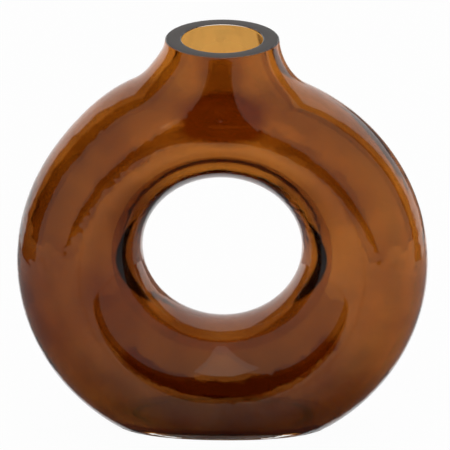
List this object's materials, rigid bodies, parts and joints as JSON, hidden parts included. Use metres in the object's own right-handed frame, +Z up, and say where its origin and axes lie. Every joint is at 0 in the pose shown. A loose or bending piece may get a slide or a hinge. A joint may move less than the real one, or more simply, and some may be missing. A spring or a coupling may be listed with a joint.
{
  "type": "donut vase",
  "caption": "Ring-shaped hollow glass vase with an open centre, a short round neck and a flat foot, clear outside with an amber layer inside.",
  "frame": {"origin": "middle of the flat foot, on the surface that the vase stands on", "axes": "+Z up through the mouth, X across the ring from side to side, Y through the hole from front (-Y) to back"},
  "size_m": [0.19, 0.057, 0.1902],
  "materials": {
    "clear_glass": "smooth mould-blown clear glass, ground flat at the mouth and the foot",
    "amber_glass": "thin see-through amber layer, slightly cloudy and finely speckled"
  },
  "bodies": {
    "root": {"glass_body": "clear_glass", "amber_lining": "amber_glass"}
  },
  "joints": []
}
